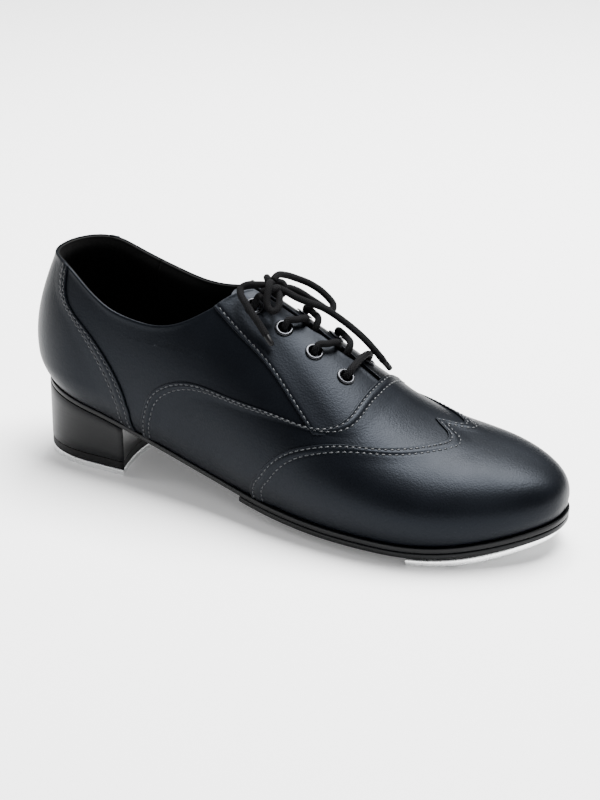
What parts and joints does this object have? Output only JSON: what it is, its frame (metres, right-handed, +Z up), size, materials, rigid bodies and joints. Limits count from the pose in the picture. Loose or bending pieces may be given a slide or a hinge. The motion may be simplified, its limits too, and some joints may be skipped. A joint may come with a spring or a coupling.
{
  "type": "tap shoe",
  "caption": "Low lace-up oxford-style dance shoe for the right foot, with metal tap plates screwed under its toe and heel.",
  "frame": {"origin": "on the floor under the middle of the shoe's bounding box, the loose lace left out", "axes": "+X towards the toe, +Y towards the inner (medial) side of this right shoe, +Z up"},
  "size_m": [0.2824, 0.0964, 0.1125],
  "materials": {
    "black_leather": "satin",
    "lining_leather": "matte",
    "stiffener": "matte",
    "sole_leather": "satin",
    "heel_stack": "satin",
    "top_lift_rubber": "matte",
    "cork": "matte",
    "insole_board": "matte",
    "tap_metal": "satin",
    "eyelet_metal": "satin",
    "steel": "satin",
    "lace_cord": "matte",
    "lace_tip": "gloss"
  },
  "bodies": {
    "shoe": {"toe_cap": "black_leather", "vamp": "black_leather", "heel_foxing": "black_leather", "quarter_lateral": "black_leather", "quarter_medial": "black_leather", "lacing_flap_lateral": "black_leather", "lacing_flap_medial": "black_leather", "quarter_lining_lateral": "lining_leather", "quarter_lining_medial": "lining_leather", "vamp_lining": "lining_leather", "heel_grip": "lining_leather", "sock_liner": "lining_leather", "heel_counter": "stiffener", "toe_puff": "stiffener", "outsole": "sole_leather", "half_sole": "sole_leather", "heel_block": "heel_stack", "top_lift": "top_lift_rubber", "forefoot_filler": "cork", "insole_board": "insole_board", "toe_tap": "tap_metal", "heel_tap": "tap_metal", "eyelet_lateral_1": "eyelet_metal", "eyelet_lateral_2": "eyelet_metal", "eyelet_lateral_3": "eyelet_metal", "eyelet_lateral_4": "eyelet_metal", "eyelet_medial_1": "eyelet_metal", "eyelet_medial_2": "eyelet_metal", "eyelet_medial_3": "eyelet_metal", "eyelet_medial_4": "eyelet_metal", "toe_tap_screw_1": "steel", "toe_tap_screw_2": "steel", "toe_tap_screw_3": "steel", "heel_tap_screw_1": "steel", "heel_tap_screw_2": "steel", "heel_tap_screw_3": "steel", "heel_nail": "steel", "shank": "steel", "lacing": "lace_cord", "lace_knot": "lace_cord", "lace_loop_lateral": "lace_cord", "lace_loop_medial": "lace_cord", "lace_end_lateral": "lace_cord", "lace_end_medial": "lace_cord", "lace_tip_lateral": "lace_tip", "lace_tip_medial": "lace_tip"},
    "tongue": {"tongue": "black_leather"}
  },
  "joints": [
    {"name": "tongue_flap", "type": "hinge", "parent": "shoe", "child": "tongue", "pos_m": [0.0535, 0.0017, 0.054], "axis": [0, 1, 0], "range_deg": [-14, 0], "stiffness_Nm_per_rad": 0.03, "springref_deg": 17.19}
  ]
}
